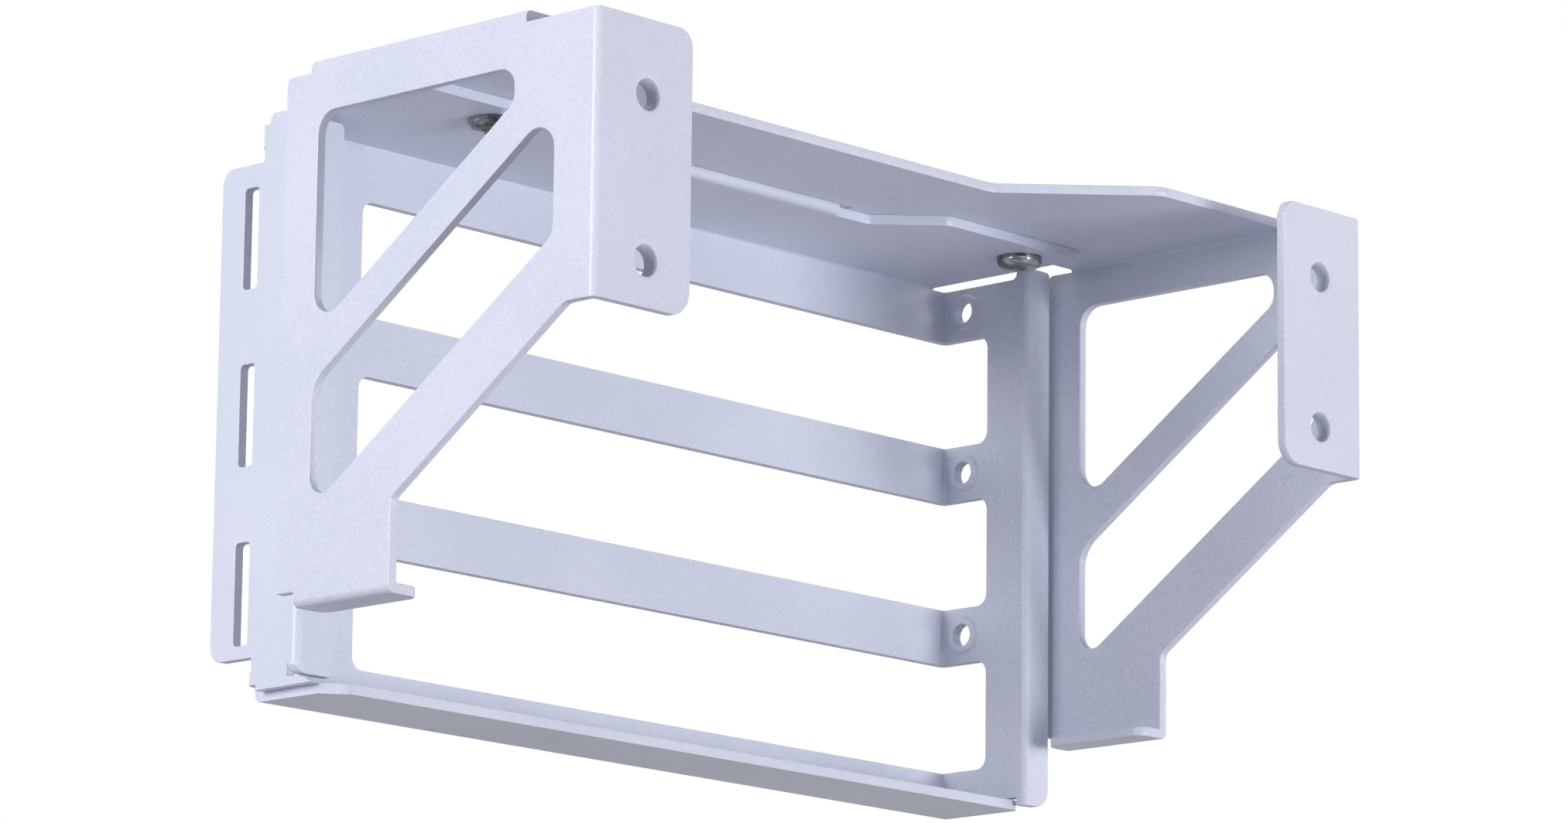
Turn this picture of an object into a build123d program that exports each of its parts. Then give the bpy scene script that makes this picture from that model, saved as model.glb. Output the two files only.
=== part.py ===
from build123d import *
import math
import os

# Both folded sheets
sheet = 1.2
bend_in = 0.3
bend_out = bend_in + sheet
bend_round = 0.9
edge_gap = 0.2

# Arm bracket: origin midway between its four case screw holes, on the front faces
bracket_width = 129.3
case_holes_up = 18.1
case_hole_inset = 7.75
case_hole_r = 1.6
plate_top = 18.83
arm_top = 17.4
arm_back = 48.3
front_flange_width = 14.5
front_flange_bottom = -14.2
fold_front = 10.9
fold_back = 44.5
plate_front_middle = 25.1
plate_middle_half = 26.7
plate_back = 52.7
plate_back_half = 59.6
strut_slope = 0.69
arm_slope_start = 4.45
leg_front = 30.2
foot_back = 45.3
foot_under = -42.3
foot_width = 4.8
heel_bottom = -40.6

# Openings of the arms: Y of their ends, Z of level edges and of slanted edges at opening_mid
opening_mid = 27.7
opening_back = 43.05
upper_front = 12.55
upper_top = 12.7
strut_top_mid = -1.6
strut_under_mid = -7.1
lower_front = 6.4
beam_top_mid = -21.3

# Slot frame, in its own axes: x from the left wall, y from the bars' front, z from the lowest bar
frame_left = -55.97
bars_front = 60.73
frame_width = 115.6
slot_pitch = 20.32
slot_count = 3
bar_width = 6.9
window_left = 14.9
window_wrap = 6.9
window_r = 1.5
frame_under = -2.04
frame_top = 65.33
top_flange_right = 112.0
top_flange_depth = 24.0
top_notch_depth = 17.1
top_notch_half = 25.2
lip_half = 19.5
lip_front = 17.9
lip_clear = 2.2
bottom_flange_depth = 11.46
bottom_flange_right = 115.5
bottom_chamfer_x = 3.0
bottom_chamfer_y = 2.4
left_wall_depth = 6.92
left_flange_width = 5.3
left_flange_bottom = 0.39
left_flange_top = 63.5
left_flange_relief = 1.6
left_wall_bottom = -1.0
toe_length = 2.9
toe_slope = 2.2
right_wall_depth = 13.45
right_wall_bottom = -0.6
right_wall_top = 64.0
right_flange_bottom = -1.6
right_flange_width = 3.0
right_flange_top = 65.2
right_flange_step = 0.3
ear_depth = 7.3
ear_bottom = 2.8
ear_top = 59.35
ear_relief = 1.6
ear_notch = 0.5
tongue_slot_height = 11.7
tongue_slot_width = 2.3

# Card screw holes in the right wall
card_hole_depth = 3.3
card_hole_r = 1.4

# Rims drawn up around the tapped holes
rim_wall = 0.7
rim_height = 0.8
rim_entry = 0.7
rim_entry_depth = 0.45
card_rim_height = 0.5
card_rim_entry = 0.55
card_rim_entry_depth = 0.3
rim_foot = 0.25

# Two pan head screws that join the sheets
screw_left_inset = 25.05
screw_right_inset = 14.35
screw_y = 41.5
screw_r = 1.45
screw_length = 4.0
screw_head_r = 2.75
screw_head_height = 1.8
screw_head_round = 1.2
screw_thread_gap = 0.05
screw_hole_gap = 0.25
screw_tip = 0.3
recess_width = 0.75
recess_length = 3.0
recess_depth = 1.1

window_height = slot_pitch - bar_width
half_width = bracket_width / 2
plate_under = plate_top - sheet
frame_up = plate_under - frame_top
lip_centre = -frame_left
screw_left_x = screw_left_inset - half_width
screw_right_x = half_width - screw_right_inset
fold_low = frame_under + bend_out + edge_gap
fold_high = frame_top - bend_out - edge_gap
rounded = 1 - math.sqrt(0.5)


def outline(points):
    """Face inside a polygon whose points are (a, b) or (a, b, corner radius)."""
    corners = []
    count = len(points)
    for i in range(count):
        here = Vector(points[i][0], points[i][1])
        radius = points[i][2] if len(points[i]) > 2 else 0
        to_last = (Vector(*points[i - 1][:2]) - here).normalized()
        to_next = (Vector(*points[(i + 1) % count][:2]) - here).normalized()
        if radius == 0:
            corners.append((here, here, here))
            continue
        half = math.acos(to_last.dot(to_next)) / 2
        reach = radius / math.tan(half)
        inward = (to_last + to_next).normalized()
        middle = here + inward * (radius / math.sin(half) - radius)
        corners.append((here + to_last * reach, middle, here + to_next * reach))
    edges = []
    for i in range(count):
        start, middle, end = corners[i]
        if (end - start).length > 0:
            edges.append(Edge.make_three_point_arc(start, middle, end))
        after = corners[(i + 1) % count][0]
        if (after - end).length > 1e-6:
            edges.append(Edge.make_line(end, after))
    return Face(Wire(edges))


def box_outline(a0, b0, a1, b1):
    return outline([(a0, b0), (a1, b0), (a1, b1), (a0, b1)])


def fold(a, b, start):
    """Section of a fold about (a, b), its two ends at the angles start and start + 90."""
    angle = math.radians(start)

    def at(p, q):
        return a + p * math.cos(angle) - q * math.sin(angle), b + p * math.sin(angle) + q * math.cos(angle)
    return outline([
        at(bend_out, 0),
        (*at(bend_out, bend_out), bend_round),
        at(0, bend_out),
        at(0, bend_in),
        (*at(bend_in, bend_in), bend_in),
        at(bend_in, 0),
    ])


def along_x(face, x0, x1):
    return extrude(Plane.YZ.offset(x0) * face, amount=x1 - x0)


def along_y(face, y0, y1):
    return extrude(Plane.XZ.offset(-y1) * face, amount=y1 - y0)


def along_z(face, z0, z1):
    return extrude(Plane.XY.offset(z0) * face, amount=z1 - z0)


def turned(points):
    return revolve(Plane.XZ * outline(points), Axis.Z)


def rim(radius, height):
    """Collar drawn up around a tapped hole, standing on the far face of the sheet."""
    outer = radius + rim_wall
    top = sheet + height
    base = sheet - edge_gap
    return turned([(0, base), (outer + rim_foot, base), (outer, top), (0, top)])


def rim_bore(radius, height, entry, depth):
    """Bore of a drawn hole, eased where it enters the near face."""
    top = sheet + height + 1
    return turned([
        (0, -1),
        (radius + entry, -1),
        (radius + entry, 0),
        (radius + rounded * entry, rounded * depth),
        (radius, depth),
        (radius, top),
        (0, top),
    ])


def draw_hole(body, place, radius, height, entry, depth):
    """Adds a drawn and tapped hole; place has its origin on the near face and Z into the sheet."""
    return body + place * rim(radius, height) - place * rim_bore(radius, height, entry, depth)


def arm_outline():
    slope_z = strut_slope * (leg_front - arm_slope_start)
    return outline([
        (bend_out, front_flange_bottom),
        (arm_slope_start, front_flange_bottom, 2.0),
        (leg_front, front_flange_bottom - slope_z, 1.2),
        (leg_front, foot_under + bend_out),
        (foot_back, foot_under + bend_out),
        (foot_back, heel_bottom),
        (arm_back, heel_bottom, 0.6),
        (arm_back, arm_top, 0.8),
        (fold_back, arm_top),
        (fold_back, plate_top - bend_out),
        (fold_front, plate_top - bend_out),
        (fold_front, arm_top),
        (bend_out, arm_top),
    ])


def slanted(mid_z, y):
    return mid_z - strut_slope * (y - opening_mid)


def upper_opening():
    return outline([
        (upper_front, slanted(strut_top_mid, upper_front), 2.0),
        (opening_back, slanted(strut_top_mid, opening_back), 2.4),
        (opening_back, upper_top, 2.5),
        (upper_front, upper_top, 2.2),
    ])


def lower_opening():
    return outline([
        (lower_front, slanted(beam_top_mid, lower_front), 2.2),
        (opening_back, slanted(beam_top_mid, opening_back), 2.0),
        (opening_back, slanted(strut_under_mid, opening_back), 4.0),
        (lower_front, slanted(strut_under_mid, lower_front), 2.5),
    ])


def right_arm():
    inner = half_width - sheet
    arm = along_x(arm_outline() - upper_opening() - lower_opening(), inner, half_width)
    turn = half_width - bend_out
    arm += along_z(fold(turn, bend_out, -90), front_flange_bottom, arm_top)
    flange = outline([
        (turn, front_flange_bottom),
        (turn, arm_top),
        (half_width - front_flange_width, arm_top, 2.0),
        (half_width - front_flange_width, front_flange_bottom, 2.8),
    ])
    arm += along_y(flange, 0, sheet)
    arm += along_y(fold(turn, foot_under + bend_out, -90), leg_front, foot_back)
    foot_edge = half_width - foot_width
    foot = outline([
        (turn, leg_front),
        (turn, foot_back),
        (foot_edge, foot_back, 1.5),
        (foot_edge, leg_front, 1.5),
    ])
    arm += along_z(foot, foot_under, foot_under + sheet)
    arm += along_y(fold(turn, plate_top - bend_out, 0), fold_front, fold_back)
    for z in (-case_holes_up / 2, case_holes_up / 2):
        place = Location((half_width - case_hole_inset, 0, z), (-90, 0, 0))
        arm = draw_hole(arm, place, case_hole_r, rim_height, rim_entry, rim_entry_depth)
    return arm


def bracket_plate():
    side = half_width - bend_out
    shoulder = plate_middle_half + plate_front_middle - fold_front
    right = [
        (plate_middle_half, plate_front_middle, 3.0),
        (shoulder, fold_front, 3.0),
        (side, fold_front),
        (side, fold_back),
        (plate_back_half, fold_back),
        (plate_back_half, plate_back, 1.5),
    ]
    left = [(-point[0],) + point[1:] for point in reversed(right)]
    return along_z(outline(right + left), plate_under, plate_top)


def lip_slot():
    front = bars_front - lip_front - edge_gap
    back = bars_front - lip_front + bend_out + edge_gap
    half = lip_half + lip_clear
    return outline([(-half, front, 0.4), (half, front, 0.4), (half, back, 0.4), (-half, back, 0.4)])


def arm_bracket():
    arm = right_arm()
    body = bracket_plate() + arm + mirror(arm, about=Plane.YZ)
    body -= along_z(lip_slot(), plate_under - 1, plate_top + 1)
    for x in (screw_left_x, screw_right_x):
        place = Location((x, screw_y, plate_under))
        body = draw_hole(body, place, screw_r + screw_thread_gap, rim_height, edge_gap, edge_gap)
    return body


def slot_rows():
    return [slot_pitch * (row + 0.5) for row in range(slot_count)]


def back_bars():
    low = frame_under + bend_out
    high = frame_top - bend_out
    return along_y(box_outline(bend_out, low, frame_width - bend_out, high), 0, sheet)


def ear_cutout():
    """Gap left in the back plate by the ear, which stays in the plane of the left wall."""
    reach = ear_depth + bend_out + edge_gap
    z0 = ear_bottom - ear_relief
    z1 = ear_top + ear_relief
    gap = outline([(-1, z0), (reach, z0, 1.0), (reach, z1, 1.0), (-1, z1)])
    return along_y(gap, -0.5, sheet + 1)


def tongue_slots(body):
    for z in slot_rows():
        half = tongue_slot_height / 2
        y1 = sheet + tongue_slot_width
        slot = outline([
            (sheet, z - half, 0.5),
            (y1, z - half, 0.5),
            (y1, z + half, 0.5),
            (sheet, z + half, 0.5),
        ])
        body -= along_x(slot, -1, sheet + 1)
    return body


def left_wall():
    front = bend_out - left_wall_depth
    wall_top = frame_top - sheet - edge_gap
    low_notch = ear_bottom - ear_relief
    high_notch = ear_top + ear_relief
    toe_front = -left_wall_depth - toe_length
    wall = outline([
        (toe_front, left_wall_bottom, 0.1),
        (-bend_in, left_wall_bottom),
        (-bend_in, low_notch),
        (ear_notch, low_notch),
        (ear_notch, ear_bottom),
        (ear_depth, ear_bottom, 1.8),
        (ear_depth, ear_top, 1.8),
        (ear_notch, ear_top),
        (ear_notch, high_notch),
        (-bend_in, high_notch),
        (-bend_in, wall_top),
        (front, wall_top),
        (front, 0),
        (toe_front + toe_slope, 0, 0.8),
    ])
    body = tongue_slots(along_x(wall, 0, sheet))
    turn = fold(bend_out, -bend_in, 90)
    body += along_z(turn, fold_low, low_notch) + along_z(turn, high_notch, fold_high)
    body += along_z(fold(bend_out, front, 180), left_flange_bottom, left_flange_top)
    flange = outline([
        (bend_out, left_flange_bottom),
        (left_flange_width, left_flange_bottom, 0.3),
        (left_flange_width, left_flange_top, 0.6),
        (bend_out, left_flange_top),
    ])
    body += along_y(flange, -left_wall_depth, sheet - left_wall_depth)
    relief = outline([
        (-edge_gap, left_flange_bottom - edge_gap),
        (left_flange_relief, left_flange_bottom - edge_gap),
        (left_flange_relief, left_flange_bottom),
        (0, left_flange_bottom, left_flange_relief),
        (0, left_flange_bottom + left_flange_relief),
        (-edge_gap, left_flange_bottom + left_flange_relief),
    ])
    return body - along_y(relief, -left_wall_depth - edge_gap, front)


def right_wall():
    front = bend_out - right_wall_depth
    inner = frame_width - sheet
    body = along_z(fold(frame_width - bend_out, -bend_in, 0), fold_low, right_wall_top)
    wall = outline([
        (front, right_wall_bottom),
        (-bend_in, right_wall_bottom),
        (-bend_in, right_wall_top),
        (front + right_flange_step, right_wall_top, 0.8),
        (front + right_flange_step, right_flange_top, 0.2),
        (front, right_flange_top),
    ])
    body += along_x(wall, inner, frame_width)
    turn = frame_width + bend_in
    body += along_z(fold(turn, front, 180), right_flange_bottom, right_flange_top)
    edge = frame_width + right_flange_width
    flange = outline([
        (turn, right_flange_bottom),
        (edge, right_flange_bottom, 2.2),
        (edge, right_flange_top, 0.6),
        (turn, right_flange_top),
    ])
    return body + along_y(flange, -right_wall_depth, sheet - right_wall_depth)


def top_flange():
    z0 = frame_top - sheet
    x0 = sheet + edge_gap
    hinge = -bend_in
    root = bend_out - lip_front
    chamfer = top_flange_depth - top_notch_depth
    left_slope = lip_centre - top_notch_half
    right_slope = lip_centre + top_notch_half
    flat = outline([
        (x0, hinge),
        (x0, -top_flange_depth, 1.0),
        (left_slope - chamfer, -top_flange_depth, 1.5),
        (left_slope, -top_notch_depth, 1.5),
        (lip_centre - lip_half, -top_notch_depth),
        (lip_centre - lip_half, root),
        (lip_centre + lip_half, root),
        (lip_centre + lip_half, -top_notch_depth),
        (right_slope, -top_notch_depth, 1.5),
        (right_slope + chamfer, -top_flange_depth, 1.5),
        (top_flange_right, -top_flange_depth, 1.0),
        (top_flange_right, hinge),
    ])
    body = along_z(flat, z0, frame_top)
    body += along_x(fold(hinge, frame_top - bend_out, 0), x0, top_flange_right)
    lip_x = (lip_centre - lip_half, lip_centre + lip_half)
    body += along_x(fold(root, frame_top + bend_in, 180), *lip_x)
    lip = box_outline(-lip_front, frame_top + bend_in, sheet - lip_front, frame_top + sheet)
    return body + along_x(lip, *lip_x)


def bottom_flange():
    x0 = sheet + edge_gap
    hinge = -bend_in
    front = -bottom_flange_depth
    flat = outline([
        (x0, hinge),
        (x0, front + bottom_chamfer_y),
        (x0 + bottom_chamfer_x, front),
        (bottom_flange_right, front, 0.8),
        (bottom_flange_right, hinge),
    ])
    body = along_z(flat, frame_under, frame_under + sheet)
    return body + along_x(fold(hinge, frame_under + bend_out, -90), x0, bottom_flange_right)


def windows():
    """Three windows, each wrapping round the right fold into the right wall."""
    cuts = Part()
    half = window_height / 2
    bend_x = frame_width - bend_out
    for z in slot_rows():
        flat = outline([
            (window_left, z - half, window_r),
            (bend_x, z - half),
            (bend_x, z + half),
            (window_left, z + half, window_r),
        ])
        wrap = outline([
            (-window_wrap, z - half, window_r),
            (sheet + 1, z - half),
            (sheet + 1, z + half),
            (-window_wrap, z + half, window_r),
        ])
        cuts += along_y(flat, -1, sheet + 1)
        cuts += along_x(wrap, bend_x - bend_in, frame_width + 1)
    return cuts


def slot_frame():
    body = back_bars() - ear_cutout()
    body += left_wall() + right_wall() + top_flange() + bottom_flange()
    body -= windows()
    for row in range(1, slot_count + 1):
        place = Location((frame_width, -card_hole_depth, slot_pitch * row), (0, -90, 0))
        body = draw_hole(body, place, card_hole_r, card_rim_height, card_rim_entry, card_rim_entry_depth)
    hole_r = screw_r + screw_hole_gap
    for x in (screw_left_x, screw_right_x):
        place = Location((x - frame_left, screw_y - bars_front, frame_top - 2 * sheet))
        body -= place * Cylinder(hole_r, 4 * sheet)
    return Location((frame_left, bars_front, frame_up)) * body


def screw():
    """Pan head screw pointing up, the underside of its head at Z 0."""
    head = turned([
        (0, 0),
        (screw_head_r, 0),
        (screw_head_r, screw_head_round - screw_head_height),
        (screw_head_r - rounded * screw_head_round, rounded * screw_head_round - screw_head_height),
        (screw_head_r - screw_head_round, -screw_head_height),
        (0, -screw_head_height),
    ])
    tip = screw_length - screw_tip
    shank = turned([
        (0, -edge_gap),
        (screw_r, -edge_gap),
        (screw_r, tip),
        (screw_r - screw_tip, screw_length),
        (0, screw_length),
    ])
    cross = Rectangle(recess_width, recess_length) + Rectangle(recess_length, recess_width)
    cross = extrude(Plane.XY.offset(-screw_head_height - 1) * cross, amount=recess_depth + 1)
    point = Cone(recess_length / 2 + 1, recess_width / 2, 2 * recess_depth)
    recess = cross & Location((0, 0, -screw_head_height)) * point
    return head + shank - recess


def build():
    head_z = plate_under - sheet
    nodes = {
        "slot_frame": slot_frame(),
        "arm_bracket": arm_bracket(),
        "screw_left": Location((screw_left_x, screw_y, head_z)) * screw(),
        "screw_right": Location((screw_right_x, screw_y, head_z)) * screw(),
    }
    os.makedirs("parts", exist_ok=True)
    for name, node in nodes.items():
        solids = node.solids()
        export_step(Compound(solids) if len(solids) > 1 else solids[0], f"parts/{name}.step")
        print(name, len(solids), node.is_valid, node.bounding_box())


build()
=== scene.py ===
import math
import bmesh
import bpy
from mathutils import Matrix, Vector


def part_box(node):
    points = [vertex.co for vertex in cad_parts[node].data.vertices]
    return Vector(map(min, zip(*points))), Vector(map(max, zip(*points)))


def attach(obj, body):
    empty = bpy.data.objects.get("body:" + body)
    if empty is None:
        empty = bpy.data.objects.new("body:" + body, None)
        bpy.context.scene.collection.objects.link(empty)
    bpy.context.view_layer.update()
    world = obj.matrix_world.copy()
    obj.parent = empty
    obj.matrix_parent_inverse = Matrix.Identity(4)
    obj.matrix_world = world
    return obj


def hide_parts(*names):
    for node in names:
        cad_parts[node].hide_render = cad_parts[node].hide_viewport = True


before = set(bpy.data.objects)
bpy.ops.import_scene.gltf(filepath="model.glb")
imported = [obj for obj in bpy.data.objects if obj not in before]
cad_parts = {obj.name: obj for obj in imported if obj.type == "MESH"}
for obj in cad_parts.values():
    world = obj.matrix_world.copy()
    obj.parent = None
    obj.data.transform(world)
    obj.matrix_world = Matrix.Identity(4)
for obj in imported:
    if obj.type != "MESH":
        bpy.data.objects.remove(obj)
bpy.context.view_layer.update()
print("frame loaded:", ", ".join(sorted(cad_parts)))


class Wire:  # one output socket; sums and products of wires add Math nodes
    def __init__(self, recipe, socket):
        self.recipe = recipe
        self.socket = socket

    def maths(self, operation, first, second):
        return self.recipe.node("ShaderNodeMath", {"operation": operation}, {0: first, 1: second})

    def __add__(self, other):
        return self.maths("ADD", self, other)

    def __radd__(self, other):
        return self.maths("ADD", other, self)

    def __sub__(self, other):
        return self.maths("SUBTRACT", self, other)

    def __mul__(self, other):
        return self.maths("MULTIPLY", self, other)

    def __gt__(self, other):
        return self.maths("GREATER_THAN", self, other)

    def __lt__(self, other):
        return self.maths("LESS_THAN", self, other)


class Recipe:  # a node tree being written
    def __init__(self, tree):
        self.tree = tree
        tree.nodes.clear()

    # settings are set first, then the sockets get values or wires
    def node(self, kind, settings=None, sockets=None, out=0):
        made = self.tree.nodes.new(kind)
        for name, value in (settings or {}).items():
            setattr(made, name, value)
        for name, value in (sockets or {}).items():
            if isinstance(value, Wire):
                self.tree.links.new(value.socket, made.inputs[name])
            else:
                made.inputs[name].default_value = value
        return Wire(self, made.outputs[out]) if made.outputs else None

    def place(self):  # Object coordinates
        return self.node("ShaderNodeTexCoord", out=3)

    def noise(self, place, scale, detail, roughness=0.5):
        return self.node("ShaderNodeTexNoise", None, {
            "Vector": place,
            "Scale": scale,
            "Detail": detail,
            "Roughness": roughness,
        })

    def step(self, value, low, high):
        return self.node("ShaderNodeMapRange", {"interpolation_type": "SMOOTHSTEP"},
                         {"Value": value, "From Min": low, "From Max": high})

    def blend(self, share, first, second):
        return self.node("ShaderNodeMix", {"data_type": "RGBA"}, {0: share, 6: first, 7: second},
                         out=2)

    def bump(self, height, distance, strength):
        return self.node("ShaderNodeBump", None,
                         {"Height": height, "Distance": distance, "Strength": strength})

    def seenDirectly(self):  # 1 for rays from the camera, reflections and see-through rays
        paths = [self.node("ShaderNodeLightPath", out=name)
                 for name in ("Is Camera Ray", "Is Glossy Ray", "Is Transmission Ray")]
        seen = paths[0].maths("MAXIMUM", paths[0], paths[1])
        return seen.maths("MAXIMUM", seen, paths[2])


def newFinish(name, write):
    material = bpy.data.materials.new(name)
    material.use_nodes = True
    r = Recipe(material.node_tree)
    shader = r.node("ShaderNodeBsdfPrincipled", None, write(r))
    r.node("ShaderNodeOutputMaterial", None, {"Surface": shader})
    return material


coatLook = {
    "paleColour": (0.660, 0.685, 0.820, 1.0),
    "deepColour": (0.570, 0.595, 0.735, 1.0),
    # near-white flake colour and its share: painted glint of the sparkle
    "flakeGlintColour": (0.93, 0.94, 1.0, 1.0),
    "cloudScale": 38.0,
    "cloudDetail": 3.0,
    "peelScale": 900.0,
    "grainScale": 4200.0,
    "detail": 2.0,
    "flakeScale": 4600.0,
    "flakePick": (0.74, 0.88),  # which cells hold a flake
    "flakeEdge": (0.42, 0.22),
    "flakeGlintShare": 0.62,
    "flakeMetal": 0.15,
    "cloudShare": 0.4,
    "grainShare": 0.6,
    "colourSpread": (0.35, 0.65),
    "rough": 0.42,
    "peelRough": 0.20,
    "grainRough": 0.16,
    "flakeRough": 0.10,
    "peelHeight": 0.65,
    "grainHeight": 0.35,
    "flakeHeight": 0.20,
    "bumpDepth": 0.00009,
    "bumpStrength": 0.9,
    "gloss": 0.10,
    "glossRough": 0.28,
}


def powderCoat(r):  # orange peel, grain and a fine sparkle; the flakes' near-white colour is painted glint on top of their real gloss and metal
    look = coatLook
    place = r.place()
    cloud = r.noise(place, look["cloudScale"], look["cloudDetail"])
    peel = r.noise(place, look["peelScale"], look["detail"])
    grain = r.noise(place, look["grainScale"], look["detail"])
    cells, pick = [r.node("ShaderNodeTexVoronoi", None,
                          {"Vector": place, "Scale": look["flakeScale"]}, out=out)
                   for out in (0, 1)]
    chosen = r.node("ShaderNodeSeparateColor", None, {"Color": pick})
    flake = r.step(chosen, *look["flakePick"]) * r.step(cells, *look["flakeEdge"])
    mottle = r.step(cloud * look["cloudShare"] + grain * look["grainShare"], *look["colourSpread"])
    colour = r.blend(mottle, look["deepColour"], look["paleColour"])
    rough = (look["rough"] + (peel - 0.5) * look["peelRough"] + (grain - 0.5) * look["grainRough"]
             - flake * look["flakeRough"])
    height = (peel * look["peelHeight"] + grain * look["grainHeight"]
              + flake * look["flakeHeight"])
    return {
        # flakes blended towards near-white in the base colour: painted glint
        "Base Color": r.blend(flake * look["flakeGlintShare"], colour, look["flakeGlintColour"]),
        "Roughness": rough,
        "Metallic": flake * look["flakeMetal"],
        "Normal": r.bump(height, look["bumpDepth"], look["bumpStrength"]),
        "Coat Weight": look["gloss"],
        "Coat Roughness": look["glossRough"],
    }


steelLook = {
    # the plating's colours are kept dark, darkest in cloudy patches: painted dark reflections of
    # the surroundings on top of the plating's own grey
    "darkReflectionColour": (0.10, 0.105, 0.115, 1.0),
    "lightColour": (0.42, 0.43, 0.45, 1.0),
    "cloudScale": 420.0,
    "cloudDetail": 2.0,
    "colourSpread": (0.35, 0.65),
    "scratchScale": 2600.0,
    "scratchDetail": 4.0,
    "scratchGain": 0.65,
    "rough": 0.06,
    "cloudRough": 0.06,
    "scratchRough": 0.05,
    "bumpDepth": 0.00002,
    "bumpStrength": 0.5,
}


def platedSteel(r):
    look = steelLook
    place = r.place()
    scratch = r.noise(place, look["scratchScale"], look["scratchDetail"], look["scratchGain"])
    cloud = r.noise(place, look["cloudScale"], look["cloudDetail"])
    # cloudy patches of the darker colour: painted dark reflections
    darkReflectionPatch = r.step(cloud, *look["colourSpread"])
    return {
        "Base Color": r.blend(darkReflectionPatch, look["darkReflectionColour"], look["lightColour"]),
        "Roughness": look["rough"] + cloud * look["cloudRough"] + scratch * look["scratchRough"],
        "Metallic": 1.0,
        "Normal": r.bump(scratch, look["bumpDepth"], look["bumpStrength"]),
    }


coatFinish = newFinish("lavenderPowderCoat", powderCoat)
screwFinish = newFinish("brightPlatedSteel", platedSteel)
print("finishes made")


sheetLook = {
    "pieces": {
        "arm_bracket": {"weld": 0.00009, "coatRound": 0.00018},
        "slot_frame": {"weld": 0.00022, "coatRound": 0.0001},
    },
    "flatDegrees": 3.0,
    "sharpDegrees": 50.0,
    "shadeDegrees": 38.0,
    "steps": 2,
    # the wedge at the left flange's relief is too thin to round
    "leftRelief": (-0.05597, 0.05531, -0.04572),
    "leftReliefReach": 0.0011,
}


def newEdgeTree(name, write):
    tree = bpy.data.node_groups.new(name, "GeometryNodeTree")
    for way in ("INPUT", "OUTPUT"):
        tree.interface.new_socket("Geometry", in_out=way, socket_type="NodeSocketGeometry")
    r = Recipe(tree)
    r.node("NodeGroupOutput", None, {0: write(r, r.node("NodeGroupInput"))})
    return tree


def pickSharpEdges(r, shape):  # edges sharper than sharpDegrees get a bevel weight
    bend = r.node("GeometryNodeInputMeshEdgeAngle")
    away = r.node("ShaderNodeVectorMath", {"operation": "DISTANCE"},
                  {0: r.node("GeometryNodeInputPosition"), 1: sheetLook["leftRelief"]}, out=1)
    sharp = bend > math.radians(sheetLook["sharpDegrees"])
    weight = sharp * (away > sheetLook["leftReliefReach"])
    return r.node("GeometryNodeStoreNamedAttribute", {"domain": "EDGE", "data_type": "FLOAT"},
                  {"Geometry": shape, "Name": "bevel_weight_edge", "Value": weight})


def shadeByAngle(r, shape):  # smooth faces, with edges sharper than shadeDegrees kept sharp
    bend = r.node("GeometryNodeInputMeshEdgeAngle")
    smooth = r.node("GeometryNodeSetShadeSmooth", {"domain": "FACE"},
                    {"Geometry": shape, "Shade Smooth": True})
    soft = bend < math.radians(sheetLook["shadeDegrees"])
    return r.node("GeometryNodeSetShadeSmooth", {"domain": "EDGE"},
                  {"Geometry": smooth, "Shade Smooth": soft})


sharpEdges = newEdgeTree("sharp edges", pickSharpEdges)
evenShading = newEdgeTree("even shading", shadeByAngle)


def addModifier(piece, name, kind, **settings):
    made = piece.modifiers.new(name, kind)
    for setting, value in settings.items():
        setattr(made, setting, value)
    return made


def dressSheet(name, look):
    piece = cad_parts[name]
    piece.data.materials.clear()
    piece.data.materials.append(coatFinish)
    addModifier(piece, "weld", "WELD", merge_threshold=look["weld"])
    addModifier(piece, "flat faces", "DECIMATE", decimate_type="DISSOLVE",
                angle_limit=math.radians(sheetLook["flatDegrees"]))
    addModifier(piece, "sharp edges", "NODES", node_group=sharpEdges)
    addModifier(piece, "coated edges", "BEVEL", width=look["coatRound"],
                segments=sheetLook["steps"], limit_method="WEIGHT", use_clamp_overlap=False,
                loop_slide=False)
    addModifier(piece, "even shading", "NODES", node_group=evenShading)
    addModifier(piece, "weighted normals", "WEIGHTED_NORMAL", keep_sharp=True)
    addModifier(piece, "even triangles", "TRIANGULATE", ngon_method="BEAUTY",
                keep_custom_normals=True)


for name, look in sheetLook["pieces"].items():
    dressSheet(name, look)
print("sheets dressed")


screwLook = {
    "nodes": ("screw_left", "screw_right"),
    "seat": 0.01643,  # height of the head's seat in the frame
    "headRadius": 0.00275,
    "rimHeight": 0.00128,
    "rimRound": 0.00092,
    "rimSteps": 7,
    "rimProfile": 0.55,
    # inset and drop of each ring under the head
    "domeRings": ((0.00060, 0.00012), (0.00060, 0.00006)),
    "sides": 48,
    "coreRadius": 0.00118,
    "threadRadius": 0.00145,
    "threadPitch": 0.0005,
    "threadSteps": 28,
    "threadStart": -0.0002,
    "threadFill": 0.86,  # the thread triangle's radius as a share of its rise
    "length": 0.0040,
    "tip": 0.0003,
    "tipTaper": 0.7,
    "crossLength": 0.0030,
    "crossWidth": 0.00078,
    "crossDepth": 0.00105,
    "crossSpare": 0.0004,  # how far the cutting blades stand out of the head
    "crossTaper": 0.45,
    "edgeRound": 0.00005,
    "edgeDegrees": 48.0,
    "edgeSteps": 2,
    "shadeDegrees": 35.0,
}
facing = 0.9  # a normal with at least this share along an axis faces that way
facingFlat = 0.9999
roundSides = 8  # the head's flat end has more corners than this


def startShape(addShape, **place):  # adds a primitive with nothing else selected
    bpy.ops.object.select_all(action="DESELECT")
    addShape(**place)
    return bpy.context.active_object


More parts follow.
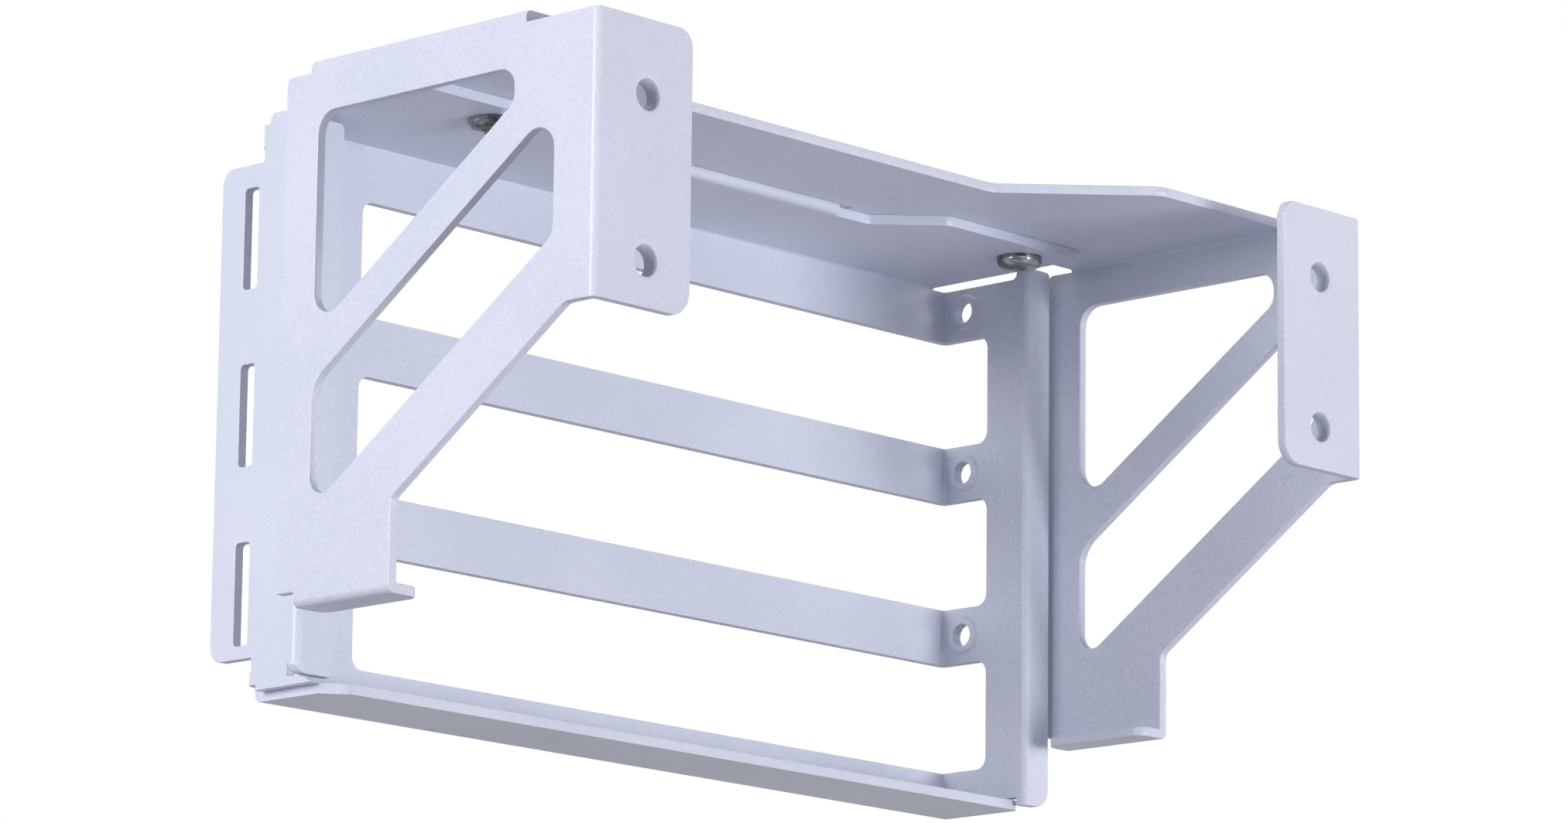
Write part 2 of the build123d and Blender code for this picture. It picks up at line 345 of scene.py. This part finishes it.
def applyPlace():  # the finished place and size go into the mesh
    bpy.ops.object.transform_apply(location=True, rotation=True, scale=True)


def pickFaces(piece, wanted):  # selects the faces for which wanted is true, and their edges
    bpy.ops.object.mode_set(mode="EDIT")
    bpy.ops.mesh.select_mode(type="FACE")
    bpy.ops.mesh.select_all(action="DESELECT")
    shape = bmesh.from_edit_mesh(piece.data)
    for face in shape.faces:
        face.select_set(wanted(face))
    bmesh.update_edit_mesh(piece.data)


def pickAll():
    bpy.ops.object.mode_set(mode="EDIT")
    bpy.ops.mesh.select_all(action="SELECT")


def applyModifier(piece, kind, **settings):
    bpy.context.view_layer.objects.active = piece
    made = addModifier(piece, kind.lower(), kind, **settings)
    bpy.ops.object.modifier_apply(modifier=made.name)


def combine(piece, tool, operation):  # boolean with a helper, which is then removed
    applyModifier(piece, "BOOLEAN", operation=operation, solver="EXACT", object=tool)
    bpy.data.objects.remove(tool)


def extrudeUp(length):
    bpy.ops.mesh.extrude_region_move(TRANSFORM_OT_translate={"value": (0, 0, length)})


def makeBlank():  # head, seat and core as one closed turning, seat at zero height
    look = screwLook
    blank = startShape(bpy.ops.mesh.primitive_cylinder_add, vertices=look["sides"],
                       radius=look["headRadius"], depth=look["rimHeight"],
                       location=(0, 0, -look["rimHeight"] / 2))
    applyPlace()
    pickFaces(blank, lambda face: face.normal.z < -facing)
    bpy.ops.mesh.bevel(offset=look["rimRound"], segments=look["rimSteps"], affect="EDGES",
                       profile=look["rimProfile"])
    pickFaces(blank, lambda face: face.normal.z < -facingFlat and len(face.verts) > roundSides)
    for inset, drop in look["domeRings"]:
        bpy.ops.mesh.inset(thickness=inset)
        bpy.ops.transform.translate(value=(0, 0, -drop))
    pickFaces(blank, lambda face: face.normal.z > facing)
    bpy.ops.mesh.inset(thickness=look["headRadius"] - look["coreRadius"])
    extrudeUp(look["length"] - look["tip"])
    extrudeUp(look["tip"])
    bpy.ops.transform.resize(value=(look["tipTaper"], look["tipTaper"], 1))
    bpy.ops.object.mode_set(mode="OBJECT")
    return blank


def makeThread():  # a triangle wound round the core
    look = screwLook
    rise = look["threadRadius"] - look["coreRadius"]
    turns = int((look["length"] - look["tip"]) / look["threadPitch"])
    reach = rise * look["threadFill"]
    thread = startShape(bpy.ops.mesh.primitive_circle_add, vertices=3, radius=reach,
                        location=(look["threadRadius"] - reach, 0, look["threadStart"]),
                        rotation=(0, 0, 0))
    pickAll()
    for axis in ("X", "Y"):
        bpy.ops.transform.rotate(value=math.radians(90), orient_axis=axis,
                                 center_override=thread.location)
    bpy.ops.object.mode_set(mode="OBJECT")
    applyPlace()
    applyModifier(thread, "SCREW", axis="Z", screw_offset=look["threadPitch"], iterations=turns,
                  steps=look["threadSteps"], render_steps=look["threadSteps"],
                  use_merge_vertices=True)
    pickAll()
    bpy.ops.mesh.fill_holes(sides=3)
    bpy.ops.mesh.normals_make_consistent(inside=False)
    bpy.ops.object.mode_set(mode="OBJECT")
    return thread


def makeCross(quarter):  # one tapered blade of the driver's cross
    look = screwLook
    low = -look["rimHeight"] - look["crossSpare"]
    depth = look["crossDepth"] + look["crossSpare"]
    size = [look["crossLength"], look["crossWidth"]]
    if quarter:
        size.reverse()
    blade = startShape(bpy.ops.mesh.primitive_cube_add, size=1, location=(0, 0, low + depth / 2),
                       scale=(*size, depth))
    applyPlace()
    pickFaces(blade, lambda face: face.normal.z > facing)
    bpy.ops.transform.resize(value=(look["crossTaper"], look["crossTaper"], 1))
    bpy.ops.object.mode_set(mode="OBJECT")
    return blade


def makeScrew():
    look = screwLook
    screw = makeBlank()
    combine(screw, makeThread(), "UNION")
    for quarter in (0, 1):
        combine(screw, makeCross(quarter), "DIFFERENCE")
    applyModifier(screw, "BEVEL", width=look["edgeRound"], segments=look["edgeSteps"],
                  limit_method="ANGLE", angle_limit=math.radians(look["edgeDegrees"]))
    bpy.ops.object.select_all(action="DESELECT")
    screw.select_set(True)
    bpy.context.view_layer.objects.active = screw
    bpy.ops.object.shade_smooth_by_angle(angle=math.radians(look["shadeDegrees"]))
    screw.data.materials.append(screwFinish)
    return screw


def setScrews():  # one screw, copied to each hole with its own mesh
    first = makeScrew()
    for node in screwLook["nodes"]:
        low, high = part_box(node)
        screw = first.copy()
        screw.data = first.data.copy()
        screw.name = "pan_" + node
        bpy.context.scene.collection.objects.link(screw)
        hole = ((low[0] + high[0]) / 2, (low[1] + high[1]) / 2, screwLook["seat"])
        screw.data.transform(Matrix.Translation(hole))
        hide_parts(node)
        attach(screw, "root")
    bpy.data.objects.remove(first)


setScrews()
print("screws made")


studio = {
    "skyLight": 0.13,
    "white": (1.0, 1.0, 1.0, 1.0),
    "lampAim": (0, 0.03, -0.02),
    "eye": (-0.560326, -0.493369, -0.171990),
    "right": (0.68308, -0.73025, 0.01128),
    "forward": (0.71339, 0.67045, 0.20389),
    "lens": 157.09,
    "sensor": 36.0,
    "near": 0.01,
    "far": 100.0,
}
floorLook = {
    "height": -0.60,
    "size": 12.0,
    "whiteShare": 0.35,
    "cloudScale": 3.0,
    "cloudDetail": 3.0,
    "deepColour": (0.50, 0.50, 0.51, 1.0),
    "paleColour": (0.54, 0.54, 0.55, 1.0),
    "rough": 0.6,
    "cloudRough": 0.1,
    "bumpDepth": 0.001,
    "bumpStrength": 0.1,
}
lamps = [
    {"name": "keyLeft", "at": (-0.9, 0.12, 0.15), "size": 0.50, "watts": 6.8},
    {"name": "frontLow", "at": (0.2, -1.1, -0.2), "size": 0.50, "watts": 8.2},
    {"name": "leftFill", "at": (-0.6, -0.85, 0.0), "size": 0.60, "watts": 0.4},
    {"name": "rightFill", "at": (0.9, -0.6, 0.1), "size": 0.60, "watts": 1.5},
    {"name": "backFill", "at": (0.4, 0.95, 0.25), "size": 0.70, "watts": 2.0},
    {"name": "topFill", "at": (-0.3, 0.3, 1.0), "size": 0.80, "watts": 2.4},
]


def layFloor():  # lit floor, lifted towards white for the camera, so that soft shadows are left
    look = floorLook
    floor = startShape(bpy.ops.mesh.primitive_plane_add, size=look["size"],
                       location=(0, 0, look["height"]))
    floor.name = "floor"
    material = bpy.data.materials.new("paleFloor")
    material.use_nodes = True
    r = Recipe(material.node_tree)
    cloud = r.noise(r.place(), look["cloudScale"], look["cloudDetail"])
    lit = r.node("ShaderNodeBsdfPrincipled", None, {
        "Base Color": r.blend(cloud, look["deepColour"], look["paleColour"]),
        "Roughness": look["rough"] + cloud * look["cloudRough"],
        "Normal": r.bump(cloud, look["bumpDepth"], look["bumpStrength"]),
    })
    plain = r.node("ShaderNodeEmission", None, {"Color": studio["white"], "Strength": 1.0})
    share = r.seenDirectly() * look["whiteShare"]
    mixed = r.node("ShaderNodeMixShader", None, {0: share, 1: lit, 2: plain})
    r.node("ShaderNodeOutputMaterial", None, {"Surface": mixed})
    floor.data.materials.append(material)


def lightSky():  # plain light for the object, white for the camera and in reflections
    world = bpy.data.worlds.new("studioSky")
    bpy.context.scene.world = world
    world.use_nodes = True
    r = Recipe(world.node_tree)
    seen = r.seenDirectly()
    plain, bright = [r.node("ShaderNodeBackground", None,
                            {"Color": studio["white"], "Strength": strength})
                     for strength in (studio["skyLight"], 1.0)]
    sky = r.node("ShaderNodeMixShader", None, {0: seen, 1: plain, 2: bright})
    r.node("ShaderNodeOutputWorld", None, {0: sky})


def hangLamp(lamp):
    data = bpy.data.lights.new(lamp["name"], "AREA")
    data.shape = "DISK"
    data.size = lamp["size"]
    data.energy = lamp["watts"]
    holder = bpy.data.objects.new(lamp["name"], data)
    bpy.context.scene.collection.objects.link(holder)
    at = Vector(lamp["at"])
    holder.location = at
    holder.visible_camera = False
    holder.rotation_mode = "QUATERNION"
    holder.rotation_quaternion = (Vector(studio["lampAim"]) - at).to_track_quat("-Z", "Y")


def setCamera():
    data = bpy.data.cameras.new("camera")
    data.lens = studio["lens"]
    data.sensor_width = studio["sensor"]
    data.clip_start = studio["near"]
    data.clip_end = studio["far"]
    camera = bpy.data.objects.new("camera", data)
    bpy.context.scene.collection.objects.link(camera)
    right = Vector(studio["right"]).normalized()
    back = -Vector(studio["forward"]).normalized()
    up = back.cross(right).normalized()
    turn = Matrix((right, up, back)).transposed().to_4x4()
    camera.matrix_world = Matrix.Translation(Vector(studio["eye"])) @ turn
    bpy.context.scene.camera = camera


layFloor()
lightSky()
for lamp in lamps:
    hangLamp(lamp)
setCamera()
bpy.context.scene.view_settings.view_transform = "Standard"
print("studio set")
